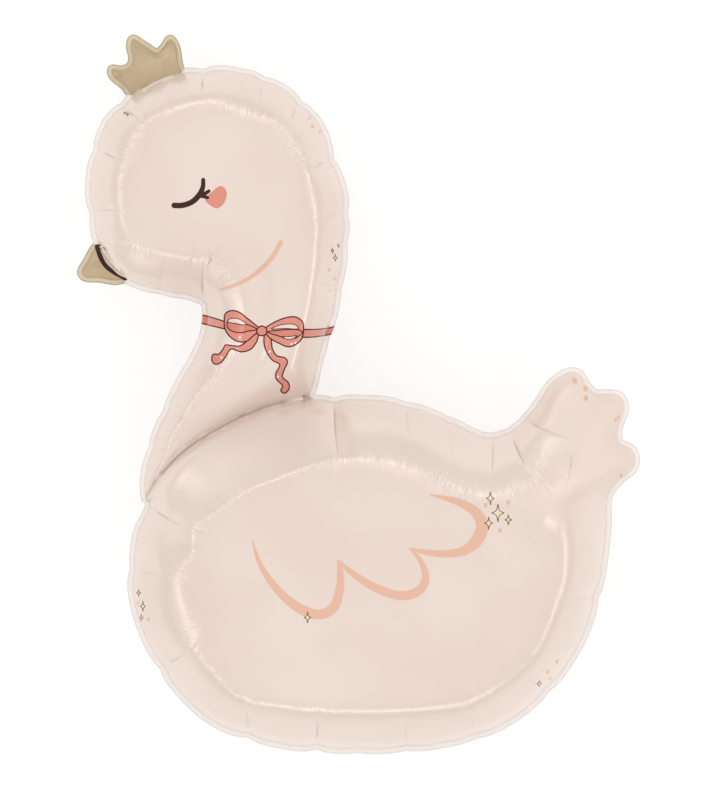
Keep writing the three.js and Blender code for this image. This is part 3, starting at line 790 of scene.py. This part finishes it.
def socket(group, name, kind, is_input, default=None):
    way = "INPUT" if is_input else "OUTPUT"
    made = group.interface.new_socket(name=name, in_out=way, socket_type=kind)
    if default is not None:
        made.default_value = default
    return made


def ink_group():
    """Lays one print over a colour: its fill, then its drawn outline."""
    group = bpy.data.node_groups.new("ink_layer", "ShaderNodeTree")
    socket(group, "Under", "NodeSocketColor", True)
    socket(group, "Distance", "NodeSocketFloat", True)
    socket(group, "Ink", "NodeSocketColor", True)
    socket(group, "Line", "NodeSocketColor", True)
    socket(group, "Line Width", "NodeSocketFloat", True, 0)
    socket(group, "Color", "NodeSocketColor", False)
    nodes, links = group.nodes, group.links
    start, end = nodes.new("NodeGroupInput"), nodes.new("NodeGroupOutput")
    fill = nodes.new("ShaderNodeMapRange")
    fill.inputs["From Min"].default_value = 0.00022
    fill.inputs["From Max"].default_value = -0.00022
    links.new(start.outputs["Distance"], fill.inputs["Value"])
    filled = nodes.new("ShaderNodeMix")
    filled.data_type = "RGBA"
    links.new(fill.outputs[0], filled.inputs["Factor"])
    links.new(start.outputs["Under"], filled.inputs["A"])
    links.new(start.outputs["Ink"], filled.inputs["B"])
    size = nodes.new("ShaderNodeMath")
    size.operation = "ABSOLUTE"
    links.new(start.outputs["Distance"], size.inputs[0])
    beyond = nodes.new("ShaderNodeMath")
    beyond.operation = "SUBTRACT"
    links.new(start.outputs["Line Width"], beyond.inputs[0])
    links.new(size.outputs[0], beyond.inputs[1])
    drawn = nodes.new("ShaderNodeMapRange")
    drawn.inputs["From Min"].default_value = 0
    drawn.inputs["From Max"].default_value = 0.0003
    links.new(beyond.outputs[0], drawn.inputs["Value"])
    lined = nodes.new("ShaderNodeMix")
    lined.data_type = "RGBA"
    links.new(drawn.outputs[0], lined.inputs["Factor"])
    links.new(filled.outputs["Result"], lined.inputs["A"])
    links.new(start.outputs["Line"], lined.inputs["B"])
    links.new(lined.outputs["Result"], end.inputs["Color"])
    return group


film = bpy.data.materials.new("pearl_film")
film.use_nodes = True
nodes, links = film.node_tree.nodes, film.node_tree.links
shader = nodes["Principled BSDF"]


def attribute(name):
    found = nodes.new("ShaderNodeAttribute")
    found.attribute_name = name
    return found.outputs["Fac"]


def math_node(operation, a, b=None):
    made = nodes.new("ShaderNodeMath")
    made.operation = operation
    for k, value in enumerate((a, b)):
        if isinstance(value, (int, float)):
            made.inputs[k].default_value = value
        elif value is not None:
            links.new(value, made.inputs[k])
    return made.outputs[0]


def map_range(value, low, high, to_low=0.0, to_high=1.0):
    made = nodes.new("ShaderNodeMapRange")
    made.inputs["From Min"].default_value = low
    made.inputs["From Max"].default_value = high
    made.inputs["To Min"].default_value = to_low
    made.inputs["To Max"].default_value = to_high
    links.new(value, made.inputs["Value"])
    return made.outputs[0]


def mix_colour(factor, a, b):
    made = nodes.new("ShaderNodeMix")
    made.data_type = "RGBA"
    links.new(factor, made.inputs["Factor"])
    for name, value in (("A", a), ("B", b)):
        if isinstance(value, tuple):
            made.inputs[name].default_value = value
        else:
            links.new(value, made.inputs[name])
    return made.outputs["Result"]


PEARL = linear(232, 215, 204)
PEARL_SHADE = linear(228, 210, 199)
INK_BROWN = linear(58, 30, 20)
INK_LINE = linear(72, 26, 18)
INK_ROSE = linear(222, 143, 126)
INK_ROSE_DEEP = linear(214, 134, 116)
INK_BLUSH = linear(220, 144, 124)
INK_PEACH = linear(228, 184, 160)
INK_DOT = linear(225, 184, 162)
INK_STAR = linear(238, 222, 194)
INK_GLINT = linear(250, 236, 226)
INK_OLIVE = linear(128, 106, 74)
GOLD = linear(187, 165, 133)
GOLD_LIGHT = linear(196, 176, 146)
GOLD_WELD_PAINTED_HIGHLIGHT = linear(222, 208, 180)
GOLD_EDGE = linear(172, 158, 132)
WELD_PAINTED_HIGHLIGHT = linear(252, 246, 241)
WELD_EDGE = linear(226, 219, 216)
CREASE_SHADE = linear(200, 188, 180)

place = nodes.new("ShaderNodeTexCoord").outputs["Object"]
cloud = nodes.new("ShaderNodeTexNoise")
cloud.inputs["Scale"].default_value = 7
cloud.inputs["Detail"].default_value = 3
links.new(place, cloud.inputs["Vector"])
colour = mix_colour(map_range(cloud.outputs["Fac"], 0.35, 0.65), PEARL, PEARL_SHADE)
gold_mask = map_range(attribute("gold"), -0.0002, 0.0002)
gold_cloud = nodes.new("ShaderNodeTexNoise")
gold_cloud.inputs["Scale"].default_value = 45
gold_cloud.inputs["Detail"].default_value = 4
links.new(place, gold_cloud.inputs["Vector"])
gold_colour = mix_colour(map_range(gold_cloud.outputs["Fac"], 0.35, 0.65), GOLD, GOLD_LIGHT)
colour = mix_colour(gold_mask, colour, gold_colour)
# Painted shade: the film, gold included, is darkened along the crease between the neck and the body
shade = nodes.new("ShaderNodeMix")
shade.data_type = "RGBA"
shade.blend_type = "MULTIPLY"
shade.inputs["B"].default_value = CREASE_SHADE
soft_shade = map_range(attribute("crease"), 0.009, 0.0005, 0, 0.2)
fine_shade = map_range(attribute("crease"), 0.0028, 0.0005, 0, 0.6)
links.new(math_node("ADD", soft_shade, fine_shade), shade.inputs["Factor"])
links.new(colour, shade.inputs["A"])
colour = shade.outputs["Result"]
# Painted highlight: the flange along the weld is painted near-white, pale gold on the crown and the
# beak, and greyer along its cut edge
weld_value = attribute("weld")
weld_highlight_colour = mix_colour(gold_mask, WELD_PAINTED_HIGHLIGHT, GOLD_WELD_PAINTED_HIGHLIGHT)
edge_colour = mix_colour(gold_mask, WELD_EDGE, GOLD_EDGE)
colour = mix_colour(map_range(weld_value, 0.0006, -0.0008, 0, 0.85), colour, weld_highlight_colour)
colour = mix_colour(map_range(weld_value, -0.0040, -0.0054), colour, edge_colour)

ink = ink_group()
LAYERS = [
    ("peach", INK_PEACH, INK_PEACH, 0), ("dots", INK_DOT, INK_DOT, 0),
    ("blush", INK_BLUSH, INK_BLUSH, 0), ("eye", INK_BROWN, INK_BROWN, 0),
    ("stars", INK_STAR, INK_OLIVE, 0.0007),
    ("bands", INK_ROSE, INK_LINE, 0.0010), ("tails", INK_ROSE, INK_LINE, 0.0010),
    ("loops", INK_ROSE, INK_LINE, 0.0010), ("insides", INK_ROSE_DEEP, INK_LINE, 0.0009),
    ("holes", PEARL, INK_LINE, 0.0007), ("knot", INK_ROSE, INK_LINE, 0.0010),
    ("glints", INK_GLINT, INK_GLINT, 0), ("mouth", INK_BROWN, INK_BROWN, 0),
]
for name, fill, line, width in LAYERS:
    layer = nodes.new("ShaderNodeGroup")
    layer.node_tree = ink
    links.new(colour, layer.inputs["Under"])
    links.new(attribute(name), layer.inputs["Distance"])
    layer.inputs["Ink"].default_value = fill
    layer.inputs["Line"].default_value = line
    layer.inputs["Line Width"].default_value = width
    colour = layer.outputs["Color"]
links.new(colour, shader.inputs["Base Color"])

# Crinkles are long across the turn of the film and short along it
flow_read = nodes.new("ShaderNodeAttribute")
flow_read.attribute_name = "flow"
crinkles = nodes.new("ShaderNodeTexNoise")
crinkles.inputs["Scale"].default_value = 1
crinkles.inputs["Detail"].default_value = 1
links.new(flow_read.outputs["Vector"], crinkles.inputs["Vector"])
ridges = math_node("ABSOLUTE", math_node("SUBTRACT", crinkles.outputs["Fac"], 0.5))
crinkle_height = math_node("MULTIPLY", ridges, attribute("crinkle"))
crinkle_height = math_node("MULTIPLY", crinkle_height, 0.0028)
size = math_node("ABSOLUTE", attribute("across"))
FOLD_WIDTH, FOLD_DEPTH = 0.0014, 0.0017
fold = math_node("EXPONENT", math_node("MULTIPLY", size, -1 / FOLD_WIDTH))
fold = math_node("MULTIPLY", math_node("MULTIPLY", fold, attribute("pleat")), -FOLD_DEPTH)
grain = nodes.new("ShaderNodeTexNoise")
grain.inputs["Scale"].default_value = 260
grain.inputs["Detail"].default_value = 2
links.new(place, grain.inputs["Vector"])
relief = math_node("ADD", crinkle_height, fold)
relief = math_node("ADD", relief, math_node("MULTIPLY", grain.outputs["Fac"], 0.00003))
bump = nodes.new("ShaderNodeBump")
bump.inputs["Distance"].default_value = 1.0
links.new(relief, bump.inputs["Height"])
links.new(bump.outputs["Normal"], shader.inputs["Normal"])

rough = map_range(cloud.outputs["Fac"], 0.3, 0.7, 0.21, 0.25)
rough = math_node("ADD", rough, math_node("MULTIPLY", gold_mask, 0.2))
SLACK_ROUGHNESS = 0.25
rough = math_node("ADD", rough, math_node("MULTIPLY", attribute("slack"), SLACK_ROUGHNESS))
links.new(rough, shader.inputs["Roughness"])
links.new(map_range(gold_mask, 0, 1, 0.26, 0.35), shader.inputs["Metallic"])
shader.inputs["Specular IOR Level"].default_value = 0.3
balloon.data.materials.append(film)

# The studio
# A plain white floor, even light from all round, four long soft lamps in a square, and two wide
# weak ones that fill the upper corners.
floor_mesh = bpy.data.meshes.new("floor")
floor_bm = bmesh.new()
bmesh.ops.create_grid(floor_bm, x_segments=1, y_segments=1, size=6)
floor_bm.to_mesh(floor_mesh)
floor_bm.free()
floor = bpy.data.objects.new("floor", floor_mesh)
floor.location.z = -0.0005
bpy.context.scene.collection.objects.link(floor)
floor_finish = bpy.data.materials.new("floor_white")
floor_finish.use_nodes = True
floor_shader = floor_finish.node_tree.nodes["Principled BSDF"]
floor_shader.inputs["Base Color"].default_value = (0.44, 0.44, 0.44, 1)
floor_shader.inputs["Roughness"].default_value = 0.9
floor_shader.inputs["Emission Color"].default_value = (1, 1, 1, 1)
floor_shader.inputs["Emission Strength"].default_value = 0.6
floor.data.materials.append(floor_finish)

world = bpy.data.worlds.new("studio")
world.use_nodes = True
world.node_tree.nodes["Background"].inputs["Strength"].default_value = 1.0
sky_nodes, sky_links = world.node_tree.nodes, world.node_tree.links
sky_place = sky_nodes.new("ShaderNodeTexCoord")
sky_split = sky_nodes.new("ShaderNodeSeparateXYZ")
sky_links.new(sky_place.outputs["Generated"], sky_split.inputs["Vector"])
sky_level = sky_nodes.new("ShaderNodeMapRange")
sky_level.inputs["From Min"].default_value = 0
sky_level.inputs["From Max"].default_value = 0.9
sky_level.inputs["To Min"].default_value = 0.62
sky_level.inputs["To Max"].default_value = 1.04
sky_links.new(sky_split.outputs["Z"], sky_level.inputs["Value"])
sky_links.new(sky_level.outputs["Result"], sky_nodes["Background"].inputs["Color"])
bpy.context.scene.world = world
bpy.context.scene.view_settings.view_transform = "Standard"

# Each lamp's azimuth, turn from upright, length, width and power
LAMPS = [
    (0, 57, 11, 0.5, 66), (90, 66, 11, 0.5, 66), (180, 66, 11, 0.5, 66), (270, 66, 11, 0.5, 66),
    (45, 74, 4, 2.5, 13), (315, 74, 4, 2.5, 6),
]
LAMP_FAR = 8.0
for k, (azimuth, turn, length, width, power) in enumerate(LAMPS):
    azimuth, turn = math.radians(azimuth), math.radians(turn)
    out = Vector((math.sin(azimuth), math.cos(azimuth), 0))
    spot = out * LAMP_FAR * math.sin(turn)
    spot.z = LAMP_FAR * math.cos(turn)
    light = bpy.data.lights.new(f"lamp_{k}", "AREA")
    light.shape = "RECTANGLE"
    light.size = length
    light.size_y = width
    light.energy = power
    lamp = bpy.data.objects.new(f"lamp_{k}", light)
    lamp.location = spot
    lamp.rotation_euler = (-spot).to_track_quat("-Z", "Y").to_euler()
    bpy.context.scene.collection.objects.link(lamp)

# The camera looks straight down on the weld's plane, from far off
PHOTO_WIDTH = 720
PHOTO_HEIGHT = 790
FIGURE_PIXELS = 719
FIGURE_MIDDLE = 360
FIGURE_LOWEST = 754
CAMERA_FAR = 30.0
camera_data = bpy.data.cameras.new("camera")
camera_data.sensor_fit = "VERTICAL"
camera_data.sensor_height = 24
view_height = HEIGHT * PHOTO_HEIGHT / FIGURE_PIXELS
camera_data.lens = camera_data.sensor_height * CAMERA_FAR / view_height
camera_data.clip_end = 50
camera = bpy.data.objects.new("camera", camera_data)
pixel = HEIGHT / FIGURE_PIXELS
aim_x = (PHOTO_WIDTH / 2 - FIGURE_MIDDLE) * pixel
aim_y = (FIGURE_LOWEST - PHOTO_HEIGHT / 2) * pixel
camera.matrix_world = to_floor @ Matrix.Translation((aim_x, aim_y, CAMERA_FAR))
bpy.context.scene.collection.objects.link(camera)
bpy.context.scene.camera = camera
